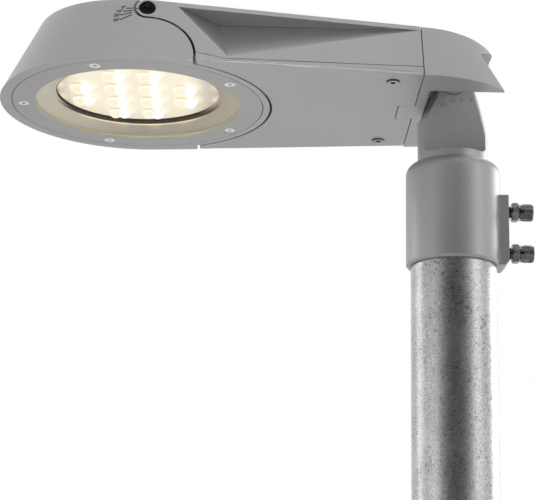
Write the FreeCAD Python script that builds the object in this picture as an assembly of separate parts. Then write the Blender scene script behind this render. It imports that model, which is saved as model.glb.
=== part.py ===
"""Post top street light: a tilting round LED head on a tapered arm, clamped to a galvanised post.

Millimetres, +Z up.  The post stands on the Z axis with its lower end at the origin, the arm runs
along -X and the hinge axes run along Y.  Shapes are drawn with the flat underside of the lamp at
height zero and are lifted to their real height when they are written out.
"""
import FreeCAD, Part
import math
import os

# Places of the main axes, from the post axis and from the underside of the lamp
underside_height = 450.0
head_x = -225.0
hood_x = -28.0
pivot_x = -216.4
pivot_height = 43.7
knuckle_height = 20.0

# Outer form shared by head, arm and hood: two drafted cones and the flanks between them
head_radius = 97.7
hood_radius = 76.0
draft_slope = 0.487
roof_height_head = 51.5
roof_height_hood = 43.6
head_edge_round = 3.0
hood_edge_round = 12.0
hood_seam_round = 1.0
seam_gap = 0.6

# Split between head and arm: an ear round the pivot, then a large quarter round
split_gap = 1.7
ear_radius = 7.75
sweep_offset = 1.6
sweep_radius = 32.6
cheek = 6.5
plate = 3.8
rim_step = 3.5
flange_height = 5.0
flange_web = 2.0
moving_gap = 0.4
running_gap = 0.08

# Pivot screws of the head
ear_thickness = 8.4
ear_web = 3.5
pivot_screw_radius = 3.0
pivot_head_radius = 5.0
pivot_head_length = 4.5
pivot_recess_gap = 0.85
pivot_boss_radius = 6.0
pivot_boss_length = 14.0
pivot_socket_flats = 5.0
pivot_socket_depth = 2.6

# Mouth of the head: screwed frame, flat glass in its rebate, white reflector behind
rim_width = 4.6
mouth_gap = 0.5
frame_width = 16.3
frame_lip = 1.0
head_wall = 4.5
core_wall = 3.0
ring_screw_inset = 7.8
ring_screw_count = 5
ring_screw_radius = 2.0
ring_screw_head_radius = 3.9
ring_screw_head_height = 2.0
ring_screw_length = 8.0
ring_socket_flats = 2.6
ring_socket_depth = 1.5
screw_room = 0.15
glass_overlap = 3.6
glass_thickness = 2.4
glass_seal_width = 3.0
reflector_gap = 0.2
reflector_reach = 14.2
reflector_height = 9.0
reflector_wall = 1.2
reflector_edge = 0.8
reflector_seal_show = 0.9
reflector_seal_width = 3.0
reflector_seal_thickness = 1.7

# LED unit
lens_counts = (2, 4, 4, 2)
lens_margin_x = 20.95
lens_margin_y = 19.6
lens_shift_x = -3.0
lens_plate_margin = 9.0
lens_plate_thickness = 1.5
lens_drop = 6.6
lens_lobe_radius = 5.0
lens_lobe_spread = 3.2
chip_size = 5.0
chip_height = 1.0
board_thickness = 1.6
spreader_margin = 1.0
spreader_thickness = 4.0
stud_radius = 4.5
stud_count = 4
stud_start_deg = 45.0
board_screw_inset = 3.5
board_screw_radius = 1.5
board_screw_head_radius = 2.7
board_screw_head_height = 1.6
board_screw_grip = 5.0

# Arm housing and its bottom cover
arm_wall = 4.0
cover_thickness = 3.0
cover_rise_tip = 6.6
cover_rise_front = 2.7
cover_rise_rear = 6.9
cover_front_x = -163.0
cover_round_front = 0.8
cover_round_rear = 2.0
cover_seam = 0.5
bay_front_wall = 7.0
bay_rear_wall = 5.0
gasket_lip = 1.4
gasket_strip = 1.6
recess_apex_x = -195.7
recess_corner_x = -167.9
recess_depth = 27.3
recess_foot_x = -160.5
recess_foot_height = 4.2
recess_tail_x = -29.5
recess_wall = 3.5
recess_reach = 1.6
cover_screw_inset_x = 20.0
cover_screw_y = 62.0
cover_screw_radius = 2.5
cover_screw_head_radius = 4.0
cover_screw_head_height = 2.6
cover_screw_sink = 1.4
cover_screw_sink_gap = 0.7
cover_screw_length = 15.0
cover_socket_flats = 4.0
cover_socket_depth = 2.0
cover_boss_radius = 6.5

# Rear hood and knuckle
slot_half_width = 45.5
slot_spring_height = 28.5
slot_crown_height = 39.5
slot_front_wall = 4.2
slot_lip = 3.0
wing_trim = 2.4
tongue_length = 11.5
tongue_half_width = 13.2
hood_floor = 4.0
hood_wall = 4.0
pocket_length = 30.0
boss_radius = 9.5
knuckle_pin_radius = 5.0
knuckle_pin_half_length = 38.0
disc_thickness = 2.0
hood_screw_radius = 2.5
hood_screw_head_radius = 4.25
hood_screw_head_height = 4.0
hood_screw_length = 9.0
hood_screw_low_y = 40.5
hood_screw_low_height = 11.0
hood_screw_high_y = 18.0
hood_screw_high_height = 31.5
gland_y = -30.0
gland_height = 21.5
gland_thread_radius = 6.0
gland_thread_length = 14.0
gland_nut_flats = 17.0
gland_nut_length = 5.0
gland_cap_radius = 7.5
gland_cap_length = 9.0
gland_mouth_radius = 5.0
gland_bore_radius = 3.5

# Neck and sleeve, one casting
post_radius = 30.0
post_wall = 3.0
post_seat_step = 0.4
post_seat_reveal = 1.0
sleeve_bore_gap = 0.15
sleeve_wall = 3.5
sleeve_low = -114.0
sleeve_top = -39.5
sleeve_roof = 5.5
sleeve_round = 8.0
sleeve_chamfer = 1.5
neck_radius = 24.8
neck_straight_top = -22.0
neck_shoulder_radius = 20.6
neck_shoulder_height = 0.0
neck_crown = 30.0
neck_crown_radius = 11.5
neck_ledge = -8.0
front_cone_radius = 23.0
front_cone_slope = 0.41
flat_half_thickness = 11.5
flat_low = -33.5
flat_round = 5.5
flat_side_run = 0.3
eye_half_thickness = 10.0
eye_step_height = 8.5
eye_radius = 10.0
cable_bore_radius = 6.0
cable_bend_height = -16.0
cable_outlet_run = 51.0
cable_outlet_rise = 22.0
pad_half_width = 12.0
pad_depth = 4.4
pad_length = 50.5
pad_bevel = 3.0
clamp_drop = 9.3
clamp_spacing = 30.2
clamp_screw_radius = 4.0
clamp_head_radius = 6.0
clamp_head_length = 9.4
clamp_head_round = 1.2
clamp_socket_flats = 6.0
clamp_socket_depth = 4.5
nut_flats = 12.4
nut_length = 5.1
nut_chamfer = 1.0
nut_corner_cut = 0.1
nut_stand_off = 3.3
clamp_head_gap = 0.95

# Gear fixed to the bottom cover
driver_length = 68.0
driver_width = 50.0
driver_height = 25.0
driver_y = -40.0
gear_round = 1.5
gear_gap = 4.0
gear_y = 16.0
terminal_length = 30.0
terminal_width = 26.0
terminal_height = 17.0
terminal_ways = 5
terminal_hole_radius = 1.8
terminal_hole_depth = 7.0
terminal_hole_inset = 8.0
surge_length = 26.0
surge_width = 24.0
surge_height = 22.0

# How far cutting tools run past a face, and how close two places count as one
past = 1.0
tiny = 0.01

# Sizes that follow from those above
flange_radius = head_radius - rim_step
flange_top = flange_height + flange_web
mouth_radius = flange_radius - rim_width
frame_outer_radius = mouth_radius - mouth_gap
frame_inner_radius = frame_outer_radius - frame_width
ring_screw_pitch_radius = frame_outer_radius - ring_screw_inset
glass_radius = frame_inner_radius + glass_overlap
glass_top = frame_lip + glass_thickness
cavity_low_radius = glass_radius - glass_seal_width
reflector_low_radius = cavity_low_radius - reflector_gap
reflector_top_radius = frame_inner_radius - reflector_reach
reflector_seal_radius = reflector_top_radius - reflector_seal_show
lens_outer_place = (len(lens_counts) - 1) / 2
lens_pitch_x = (reflector_seal_radius - lens_margin_x) / lens_outer_place
lens_pitch_y = (reflector_seal_radius - lens_margin_y) / lens_outer_place
lens_plate_radius = reflector_top_radius + lens_plate_margin
spreader_radius = lens_plate_radius + spreader_margin
board_screw_pitch_radius = lens_plate_radius - board_screw_inset
lens_plate_low = reflector_height + reflector_seal_thickness
chip_low = lens_plate_low + lens_plate_thickness
board_low = chip_low + chip_height
spreader_low = board_low + board_thickness
spreader_top = spreader_low + spreader_thickness
board_screw_low = lens_plate_low - board_screw_head_height
board_screw_top = spreader_top + board_screw_grip
sweep_x = pivot_x + sweep_offset
sweep_height = pivot_height - ear_radius - sweep_radius
cover_screw_x = hood_x - cover_screw_inset_x
slot_front_x = hood_x + slot_front_wall
post_seat_radius = post_radius - post_seat_step
sleeve_bore_radius = post_seat_radius + sleeve_bore_gap
sleeve_radius = sleeve_bore_radius + sleeve_wall
pad_x = sleeve_radius + pad_depth
pad_top = sleeve_low + pad_length
clamp_heights = (pad_top - clamp_drop, pad_top - clamp_drop - clamp_spacing)
nut_x = pad_x + nut_stand_off
nut_end = nut_x + nut_length
nut_crown_radius = nut_flats / math.sqrt(3.0) - nut_corner_cut
clamp_head_x = nut_end + clamp_head_gap
disc_face = eye_half_thickness + moving_gap
boss_face = disc_face + disc_thickness
bay_front_x = head_x + flange_radius + split_gap + bay_front_wall
gear_x = bay_front_x + gear_gap

X_AXIS = FreeCAD.Vector(1, 0, 0)
Y_AXIS = FreeCAD.Vector(0, 1, 0)
Z_AXIS = FreeCAD.Vector(0, 0, 1)
FAR = 4 * head_radius


def vec(x, y, z):
    return FreeCAD.Vector(x, y, z)


def box(x0, x1, y0, y1, z0, z1):
    return Part.makeBox(x1 - x0, y1 - y0, z1 - z0, vec(x0, y0, z0))


def rod(radius, start, end):
    return Part.makeCylinder(radius, (end - start).Length, start, end - start)


def rod_x(radius, y, z, x0, x1):
    return rod(radius, vec(x0, y, z), vec(x1, y, z))


def rod_y(radius, x, z, y0, y1):
    return rod(radius, vec(x, y0, z), vec(x, y1, z))


def rod_z(radius, x, y, z0, z1):
    return rod(radius, vec(x, y, z0), vec(x, y, z1))


def hex_bar(flats, start, end):
    """Hexagonal bar between two points."""
    axis = end - start
    side = axis.cross(X_AXIS if abs(axis.z) > abs(axis.x) else Z_AXIS).normalize()
    other = axis.cross(side).normalize()
    reach = flats / math.sqrt(3.0)
    corners = []
    for step in range(7):
        turn = math.radians(60.0 * step)
        corners.append(start + side * (reach * math.cos(turn)) + other * (reach * math.sin(turn)))
    return Part.Face(Part.makePolygon(corners)).extrude(axis)


def turned(points, x=0.0):
    """Solid turned about the vertical axis at x from (radius, height) points."""
    corners = [vec(x + r, 0, z) for r, z in points]
    face = Part.Face(Part.makePolygon(corners + corners[:1]))
    return face.revolve(vec(x, 0, 0), Z_AXIS, 360)


def side_lines(points):
    corners = [vec(x, 0, z) for x, z in points]
    return [Part.LineSegment(a, b).toShape() for a, b in zip(corners, corners[1:])]


def side_prism(edges, y0=-FAR, y1=FAR):
    """Solid pushed along Y from a closed run of edges drawn in the XZ plane."""
    face = Part.Face(Part.Wire(edges))
    solid = face.extrude(vec(0, y1 - y0, 0))
    solid.translate(vec(0, y0, 0))
    return solid


def mirrored(shape):
    return shape.mirror(vec(0, 0, 0), Y_AXIS)


def both_sides(shape):
    return shape.fuse(mirrored(shape))


def ring_places(count, radius, start_deg):
    for step in range(count):
        turn = math.radians(start_deg + 360.0 * step / count)
        yield head_x + radius * math.cos(turn), radius * math.sin(turn)


def ring_screw_places():
    return ring_places(ring_screw_count, ring_screw_pitch_radius, 180.0)


def board_screw_places():
    return ring_places(stud_count, board_screw_pitch_radius, stud_start_deg)


def roof_at(x):
    share = (x - head_x) / (hood_x - head_x)
    return roof_height_head + share * (roof_height_hood - roof_height_head)


def flank_y(x, z):
    """Half width of the outer form on the flank between the two cones."""
    lean = (head_radius - hood_radius) / (hood_x - head_x)
    return (head_radius - draft_slope * z - (x - head_x) * lean) / math.sqrt(1.0 - lean * lean)


pivot_face = flank_y(pivot_x, pivot_height) - ear_thickness
pivot_recess = pivot_face + ear_web
core_height = roof_at(head_x + flange_radius) - plate - split_gap
cavity_height = core_height - head_wall
form_top = roof_height_head + head_edge_round + plate


def below_roof(drop=0.0):
    """Everything under the sloping roof, or under a plane a drop below it."""
    left, right = head_x - FAR, FAR
    points = [(left, -FAR), (right, -FAR), (right, roof_at(right) - drop), (left, roof_at(left) - drop),
              (left, -FAR)]
    return side_prism(side_lines(points))


def outer_form(inset=0.0, low=0.0):
    """Drafted body: a cone at the head, a cone at the hood and the flanks that touch both."""
    high = form_top
    lean = (head_radius - hood_radius) / (hood_x - head_x)
    rise = math.sqrt(1.0 - lean * lean)
    radii, wires = [], []
    for z in (low, high):
        big = head_radius - inset - draft_slope * z
        small = hood_radius - inset - draft_slope * z
        a, b = (head_x + big * lean, big * rise), (hood_x + small * lean, small * rise)
        corners = [vec(a[0], a[1], z), vec(a[0], -a[1], z), vec(b[0], -b[1], z), vec(b[0], b[1], z)]
        radii.append((big, small))
        wires.append(Part.makePolygon(corners + corners[:1]))
    cones = [Part.makeCone(radii[0][0], radii[1][0], high - low, vec(head_x, 0, low)),
             Part.makeCone(radii[0][1], radii[1][1], high - low, vec(hood_x, 0, low))]
    return Part.makeLoft(wires, True, True).multiFuse(cones).removeSplitter()


def body_form():
    return outer_form().common(below_roof())


def on_roof(edge):
    """True for edges that lie in the sloping roof plane."""
    return all(abs(v.Point.z - roof_at(v.Point.x)) < tiny for v in edge.Vertexes)


def arm_zone(gap=0.0):
    """Side region of the arm; gap pushes its border towards the head."""
    ear = ear_radius + gap
    sweep = sweep_radius - gap
    top = sweep_height + sweep
    diagonal = sweep * math.sqrt(0.5)
    bend = Part.Arc(vec(sweep_x, 0, top), vec(sweep_x + diagonal, 0, sweep_height + diagonal),
                    vec(sweep_x + sweep, 0, sweep_height)).toShape()
    rest = side_lines([(sweep_x + sweep, sweep_height), (sweep_x + sweep, -FAR), (FAR, -FAR), (FAR, FAR),
                       (pivot_x - gap, FAR), (pivot_x - gap, top), (sweep_x, top)])
    return side_prism([bend] + rest).fuse(rod_y(ear, pivot_x, pivot_height, -FAR, FAR))


def fork_radius(z):
    return head_radius - draft_slope * z - cheek


def fork_space():
    """Room inside the arm's fork for the rear of the head."""
    low, high = -flange_height, form_top
    cone = turned([(0, low), (fork_radius(low), low), (fork_radius(high), high), (0, high)], head_x)
    rim = rod_z(flange_radius + split_gap, head_x, 0, low, flange_top + split_gap)
    return cone.common(below_roof(plate)).fuse(rim)


def head_core():
    """Rear of the head that sits inside the arm's fork."""
    foot = fork_radius(flange_top) - split_gap
    top = fork_radius(core_height) - split_gap
    return turned([(0, 0), (flange_radius, 0), (flange_radius, flange_top), (foot, flange_top),
                   (top, core_height), (0, core_height)], head_x)


def head_shell():
    front = body_form()
    rim = [e for e in front.Edges if on_roof(e) and e.BoundBox.XMin < head_x]
    front = front.makeFillet(head_edge_round, rim).cut(arm_zone(split_gap))
    full = front.fuse(head_core())
    nose = outer_form(head_wall, flange_height + head_wall).common(below_roof(head_wall))
    nose_end = pivot_x - ear_radius - split_gap - head_wall
    nose = nose.common(box(-2 * FAR, nose_end, -FAR, FAR, 0, FAR))
    cavity_top_radius = fork_radius(cavity_height) - split_gap - core_wall
    cavity = turned([(0, 0), (cavity_low_radius, 0), (cavity_low_radius, flange_height),
                     (cavity_top_radius, cavity_height), (0, cavity_height)], head_x)
    mouth = rod_z(mouth_radius, head_x, 0, -past, flange_height)
    shell = full.cut(nose).cut(cavity).cut(mouth)
    for x, y in board_screw_places():
        shell = shell.fuse(rod_z(stud_radius, x, y, spreader_top, form_top).common(full))
        shell = shell.cut(rod_z(board_screw_radius, x, y, 0, board_screw_top))
    boss = rod_y(pivot_boss_radius, pivot_x, pivot_height, -pivot_face, -pivot_face + pivot_boss_length)
    shell = shell.fuse(both_sides(boss))
    ear_room = rod_y(ear_radius + split_gap, pivot_x, pivot_height, -FAR, -pivot_face + moving_gap)
    shell = shell.cut(both_sides(ear_room))
    for x, y in ring_screw_places():
        shell = shell.cut(rod_z(ring_screw_radius, x, y, 0, ring_screw_length))
    thread = rod_y(pivot_screw_radius, pivot_x, pivot_height, -FAR, -pivot_face + pivot_boss_length)
    return shell.cut(both_sides(thread)).removeSplitter()


def ring_screw(x, y, room=0.0):
    """Countersunk screw of the glass frame, pointing up from the underside."""
    shank = ring_screw_radius + room
    head = Part.makeCone(ring_screw_head_radius + room, shank, ring_screw_head_height, vec(x, y, 0))
    return head.fuse(rod_z(shank, x, y, ring_screw_head_height, ring_screw_length))


def glass_frame():
    """Screwed ring with a rebate that holds the edge of the glass."""
    rebate = glass_radius + mouth_gap
    frame = turned([(frame_inner_radius, 0), (frame_outer_radius, 0), (frame_outer_radius, flange_height),
                    (rebate, flange_height), (rebate, frame_lip), (frame_inner_radius, frame_lip)], head_x)
    for x, y in ring_screw_places():
        frame = frame.cut(ring_screw(x, y, screw_room))
    return frame


def ring_screws():
    screws = []
    for x, y in ring_screw_places():
        socket = hex_bar(ring_socket_flats, vec(x, y, -past), vec(x, y, ring_socket_depth))
        screws.append(ring_screw(x, y).cut(socket))
    return Part.makeCompound(screws)


def cover_glass():
    return rod_z(glass_radius, head_x, 0, frame_lip, glass_top)


def glass_seal():
    return turned([(cavity_low_radius, glass_top), (glass_radius, glass_top), (glass_radius, flange_height),
                   (cavity_low_radius, flange_height)], head_x)


def reflector_cone():
    """White cone that rises from the glass to a flat seat under the lens plate."""
    seat = reflector_seal_radius + reflector_seal_width + reflector_wall
    back = glass_top + reflector_wall
    return turned([(reflector_low_radius - reflector_edge, glass_top), (reflector_low_radius, glass_top),
                   (reflector_low_radius, back), (seat, reflector_height),
                   (reflector_top_radius, reflector_height)], head_x)


def reflector_seal():
    outer = reflector_seal_radius + reflector_seal_width
    return turned([(reflector_seal_radius, reflector_height), (outer, reflector_height),
                   (outer, lens_plate_low), (reflector_seal_radius, lens_plate_low)], head_x)


def led_places():
    """Columns along the arm, each centred across it."""
    for column, rows in enumerate(lens_counts):
        x = head_x + lens_shift_x + (column - lens_outer_place) * lens_pitch_x
        for row in range(rows):
            yield x, (row - (rows - 1) / 2) * lens_pitch_y


def board_holes(shape):
    for x, y in board_screw_places():
        shape = shape.cut(rod_z(board_screw_radius, x, y, 0, spreader_top + past))
    return shape


def lens_plate():
    """Clear plate with a double domed lens under every chip."""
    lobes = []
    below = rod_z(lens_plate_radius, head_x, 0, 0, lens_plate_low + lens_plate_thickness / 2)
    for x, y in led_places():
        for side in (-1, 1):
            centre = vec(x + side * lens_lobe_spread, y, lens_plate_low - lens_drop + lens_lobe_radius)
            lobes.append(Part.makeSphere(lens_lobe_radius, centre).common(below))
    disc = rod_z(lens_plate_radius, head_x, 0, lens_plate_low, chip_low)
    return board_holes(disc.multiFuse(lobes))


def led_chips():
    half = chip_size / 2
    chips = [box(x - half, x + half, y - half, y + half, chip_low, board_low) for x, y in led_places()]
    return Part.makeCompound(chips)


def led_board():
    return board_holes(rod_z(lens_plate_radius, head_x, 0, board_low, spreader_low))


def heat_spreader():
    return board_holes(rod_z(spreader_radius, head_x, 0, spreader_low, spreader_top))


def board_screws():
    screws = []
    for x, y in board_screw_places():
        head = rod_z(board_screw_head_radius, x, y, board_screw_low, lens_plate_low)
        screws.append(head.fuse(rod_z(board_screw_radius, x, y, lens_plate_low, board_screw_top)))
    return Part.makeCompound(screws)


def pivot_screws():
    start = -pivot_recess - moving_gap
    face = start - pivot_head_length
    head = rod_y(pivot_head_radius, pivot_x, pivot_height, face, start)
    shank = rod_y(pivot_screw_radius, pivot_x, pivot_height, start, -pivot_face + pivot_boss_length)
    socket = hex_bar(pivot_socket_flats, vec(pivot_x, face - past, pivot_height),
                     vec(pivot_x, face + pivot_socket_depth, pivot_height))
    screw = head.fuse(shank).cut(socket)
    return Part.makeCompound([screw, mirrored(screw)])


def cover_zone(gap=0.0):
    """Side region of the bottom cover, whose upper edge rises to the rear and at the front tips."""
    tip_x = sweep_x + sweep_radius
    points = [(head_x, -FAR), (FAR, -FAR), (FAR, cover_rise_rear + gap), (hood_x, cover_rise_rear + gap),
              (cover_front_x, cover_rise_front + gap), (tip_x, cover_rise_tip + gap),
              (head_x, cover_rise_tip + gap), (head_x, -FAR)]
    return side_prism(side_lines(points))


def recess_corners():
    """Deep corner, front apex, foot and rear tail of the wedge under the top plate, near side."""
    deep_z = roof_at(recess_corner_x) - plate
    apex_z = roof_at(recess_apex_x) - plate
    tail_z = roof_at(recess_tail_x) - plate
    return (vec(recess_corner_x, recess_depth - flank_y(recess_corner_x, deep_z), deep_z),
            vec(recess_apex_x, -flank_y(recess_apex_x, apex_z), apex_z),
            vec(recess_foot_x, -flank_y(recess_foot_x, recess_foot_height), recess_foot_height),
            vec(recess_tail_x, -flank_y(recess_tail_x, tail_z), tail_z))


def recess_tool():
    """Wedge with one corner deep in the arm and three pushed out past its flank."""
    deep, *surface = recess_corners()
    a, b, c = [deep + (p - deep) * recess_reach for p in surface]
    sides = ((deep, a, b), (deep, b, c), (deep, c, a), (a, c, b))
    faces = [Part.Face(Part.makePolygon([p, q, r, p])) for p, q, r in sides]
    return Part.makeSolid(Part.makeShell(faces))


def outside_recess():
    """All that lies beyond a wall's thickness inside the slanting face of the recess."""
    deep, apex, foot, tail = recess_corners()
    normal = (foot - deep).cross(tail - deep).normalize()
    if normal.y > 0:
        normal = normal * -1.0
    along = (tail - deep).normalize() * FAR
    across = normal.cross(along)
    start = deep - normal * recess_wall - along - across
    square = [start, start + along * 2, start + along * 2 + across * 2, start + across * 2, start]
    return Part.Face(Part.makePolygon(square)).extrude(normal * FAR)


def bay():
    """Gear room of the arm, open at the bottom."""
    room = outer_form(arm_wall).common(below_roof(plate))
    room = room.common(box(bay_front_x, hood_x - bay_rear_wall, -FAR, FAR, -past, FAR))
    return room.cut(both_sides(outside_recess()))


def hood_screw_places():
    for y, z in ((hood_screw_low_y, hood_screw_low_height), (hood_screw_high_y, hood_screw_high_height)):
        yield y, z
        yield -y, z


def ahead_of_hood():
    return box(-2 * FAR, hood_x - seam_gap / 2, -FAR, FAR, -past, FAR)


def arm_housing():
    arm = body_form().common(arm_zone()).common(ahead_of_hood())
    arm = arm.cut(fork_space())
    pad = rod_y(ear_radius, pivot_x, pivot_height, -FAR, -pivot_face).common(body_form())
    arm = arm.fuse(both_sides(pad)).cut(both_sides(recess_tool())).cut(bay())
    limit = body_form().cut(both_sides(outside_recess()))
    for side in (-1, 1):
        boss = rod_z(cover_boss_radius, cover_screw_x, side * cover_screw_y, 0, FAR)
        arm = arm.fuse(boss.common(limit))
    arm = arm.cut(cover_zone(cover_seam))
    arm = arm.cut(rod_y(pivot_boss_radius + moving_gap, pivot_x, pivot_height, -pivot_face, pivot_face))
    hole = rod_y(pivot_screw_radius + running_gap, pivot_x, pivot_height, -FAR, -pivot_face + past)
    recess = rod_y(pivot_head_radius + pivot_recess_gap, pivot_x, pivot_height, -FAR, -pivot_recess)
    arm = arm.cut(both_sides(hole.fuse(recess)))
    for side in (-1, 1):
        arm = arm.cut(rod_z(cover_screw_radius, cover_screw_x, side * cover_screw_y, 0, cover_screw_length))
    for y, z in hood_screw_places():
        arm = arm.cut(rod_x(hood_screw_radius, y, z, slot_front_x - hood_screw_length, slot_front_x))
    gland_end = slot_front_x - gland_thread_length
    arm = arm.cut(rod_x(gland_thread_radius, gland_y, gland_height, gland_end, slot_front_x))
    return arm.removeSplitter()


def bottom_cover():
    cover = outer_form().common(cover_zone()).common(arm_zone())
    cover = cover.common(ahead_of_hood()).cut(fork_space())
    near = cover.common(box(-2 * FAR, FAR, -FAR, 0, -past, FAR))
    edge = [e for e in near.Edges if e.BoundBox.ZMax < tiny and e.BoundBox.YMax < -hood_radius / 2]
    edge = [e for e in edge if isinstance(e.Curve, Part.Line)]
    cover = both_sides(near.makeFillet(cover_round_front, cover_round_rear, edge))
    tray = outer_form(arm_wall, cover_thickness)
    cover = cover.cut(tray.common(box(bay_front_x, hood_x - bay_rear_wall, -FAR, FAR, 0, FAR)))
    notch = tongue_half_width + seam_gap
    notch_x = hood_x - tongue_length - seam_gap
    cover = cover.cut(box(notch_x, FAR, -notch, notch, -past, cover_thickness + seam_gap))
    for side in (-1, 1):
        y = side * cover_screw_y
        cover = cover.cut(rod_z(cover_screw_radius, cover_screw_x, y, -past, FAR))
        sink = cover_screw_head_radius + cover_screw_sink_gap
        cover = cover.cut(rod_z(sink, cover_screw_x, y, -past, cover_screw_sink))
    return cover.removeSplitter()


def cover_gasket():
    """Closed strip in the seam between the housing and its cover."""
    inner = gasket_lip + gasket_strip
    seam = cover_zone(cover_seam).cut(cover_zone())
    outside = outer_form(gasket_lip).common(box(bay_front_x - inner, hood_x - gasket_lip, -FAR, FAR, 0, FAR))
    inside = outer_form(inner).common(box(bay_front_x - gasket_lip, hood_x - inner, -FAR, FAR, 0, FAR))
    return outside.cut(inside).common(seam)


def cover_screws():
    screws = []
    for side in (-1, 1):
        y = side * cover_screw_y
        face = cover_screw_sink - cover_screw_head_height
        head = rod_z(cover_screw_head_radius, cover_screw_x, y, face, cover_screw_sink)
        centre = vec(cover_screw_x, y, face)
        socket = hex_bar(cover_socket_flats, centre - Z_AXIS * past, centre + Z_AXIS * cover_socket_depth)
        shank = rod_z(cover_screw_radius, cover_screw_x, y, cover_screw_sink, cover_screw_length)
        screws.append(head.cut(socket).fuse(shank))
    return Part.makeCompound(screws)


def hood_slot():
    """Arched tunnel, open below and behind, in which the neck swings."""
    w, spring, crown = slot_half_width, slot_spring_height, slot_crown_height
    x = slot_front_x
    corners = [vec(x, w, spring), vec(x, w, -FAR), vec(x, -w, -FAR), vec(x, -w, spring)]
    edges = [Part.Arc(corners[3], vec(x, 0, crown), corners[0]).toShape()]
    edges += [Part.LineSegment(a, b).toShape() for a, b in zip(corners, corners[1:])]
    return Part.Face(Part.Wire(edges)).extrude(vec(FAR, 0, 0))


def wing_edge_x(z):
    """Rear end of the hood's wings, where the cone meets the wall of the slot."""
    return hood_x + math.sqrt((hood_radius - draft_slope * z) ** 2 - slot_half_width ** 2)


def wing_ends():
    """Sharp ends of the wings, cut back most at the bottom."""
    tip, spring = wing_edge_x(0) - wing_trim, slot_spring_height
    return side_prism(side_lines([(tip, -past), (FAR, -past), (FAR, spring), (wing_edge_x(spring), spring),
                                  (tip, 0), (tip, -past)]))


def rear_hood():
    half = body_form().common(box(hood_x + seam_gap / 2, FAR, -FAR, 0, -past, FAR))
    rim = [e for e in half.Edges if on_roof(e) and not isinstance(e.Curve, Part.Line)]
    half = half.makeFillet(hood_seam_round, hood_edge_round, rim)
    hood = both_sides(half).cut(hood_slot()).cut(wing_ends())
    lip_width = slot_half_width + past
    lip = box(hood_x + seam_gap, slot_front_x + slot_lip, -lip_width, lip_width, 0, hood_floor)
    hood = hood.fuse(lip)
    wing = slot_half_width + hood_wall
    room = box(hood_x, hood_x + pocket_length, wing, FAR, hood_floor, slot_spring_height)
    hood = hood.cut(both_sides(outer_form(hood_wall, hood_floor).common(room)))
    boss = rod_y(boss_radius, 0, knuckle_height, -slot_half_width - past, -boss_face)
    hood = hood.fuse(both_sides(boss))
    w = tongue_half_width
    tongue = box(hood_x - tongue_length, slot_front_x, -w, w, 0, cover_thickness)
    hood = hood.cut(knuckle_pin()).fuse(tongue)
    for y, z in hood_screw_places():
        hood = hood.cut(rod_x(hood_screw_radius, y, z, hood_x - past, slot_front_x + past))
    hood = hood.cut(rod_x(gland_thread_radius, gland_y, gland_height, hood_x - past, slot_front_x + past))
    return hood.removeSplitter()


def hood_screws():
    screws = []
    for y, z in hood_screw_places():
        head = rod_x(hood_screw_head_radius, y, z, slot_front_x, slot_front_x + hood_screw_head_height)
        shank = rod_x(hood_screw_radius, y, z, slot_front_x - hood_screw_length, slot_front_x)
        screws.append(head.fuse(shank))
    return Part.makeCompound(screws)


def cable_gland():
    x, y, z = slot_front_x, gland_y, gland_height
    gland = rod_x(gland_thread_radius, y, z, x - gland_thread_length, x)
    gland = gland.fuse(hex_bar(gland_nut_flats, vec(x, y, z), vec(x + gland_nut_length, y, z)))
    start = x + gland_nut_length
    cap = Part.makeCone(gland_cap_radius, gland_mouth_radius, gland_cap_length, vec(start, y, z), X_AXIS)
    gland = gland.fuse(cap)
    return gland.cut(rod_x(gland_bore_radius, y, z, x - FAR, x + FAR))


def knuckle_pin():
    return rod_y(knuckle_pin_radius, 0, knuckle_height, -knuckle_pin_half_length, knuckle_pin_half_length)


def friction_discs():
    disc = rod_y(boss_radius, 0, knuckle_height, -boss_face, -disc_face)
    disc = disc.cut(rod_y(knuckle_pin_radius, 0, knuckle_height, -FAR, FAR))
    return Part.makeCompound([disc, mirrored(disc)])


def neck_form():
    """Round neck: a curve to its crown at the rear, a ledge and a cone at the front."""
    low = sleeve_top - sleeve_roof / 2
    shoulder = vec(neck_shoulder_radius, 0, neck_shoulder_height)
    crown = vec(neck_crown_radius, 0, neck_crown)
    bend = Part.Arc(vec(neck_radius, 0, neck_straight_top), shoulder, crown).toShape()
    rest = side_lines([(neck_crown_radius, neck_crown), (0, neck_crown), (0, low), (neck_radius, low),
                       (neck_radius, neck_straight_top)])
    rear = Part.Face(Part.Wire([bend] + rest)).revolve(vec(0, 0, 0), Z_AXIS, 360)
    top = front_cone_radius - front_cone_slope * (neck_crown - neck_ledge)
    front = turned([(0, low), (neck_radius, low), (neck_radius, neck_ledge), (front_cone_radius, neck_ledge),
                    (top, neck_crown), (0, neck_crown)])
    half = box(-FAR, 0, -FAR, FAR, low - past, neck_crown + past)
    return rear.cut(half).fuse(front.common(half))


def sleeve_form():
    """Plain sleeve with a rounded shoulder and a chamfered mouth."""
    sleeve = rod_z(sleeve_radius, 0, 0, sleeve_low, sleeve_top)
    top = [e for e in sleeve.Edges if e.BoundBox.ZMin > sleeve_top - tiny]
    sleeve = sleeve.makeFillet(sleeve_round, top)
    mouth = [e for e in sleeve.Edges if e.BoundBox.ZMax < sleeve_low + tiny]
    return sleeve.makeChamfer(sleeve_chamfer, mouth)


def cable_way():
    """Bore from the post up into the neck and out at its rear side."""
    bend = vec(0, 0, cable_bend_height)
    upright = rod_z(cable_bore_radius, 0, 0, sleeve_top - sleeve_roof - past, cable_bend_height)
    outlet = rod(cable_bore_radius, bend, bend + vec(cable_outlet_run, 0, cable_outlet_rise))
    return upright.fuse(outlet).fuse(Part.makeSphere(cable_bore_radius, bend))


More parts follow.
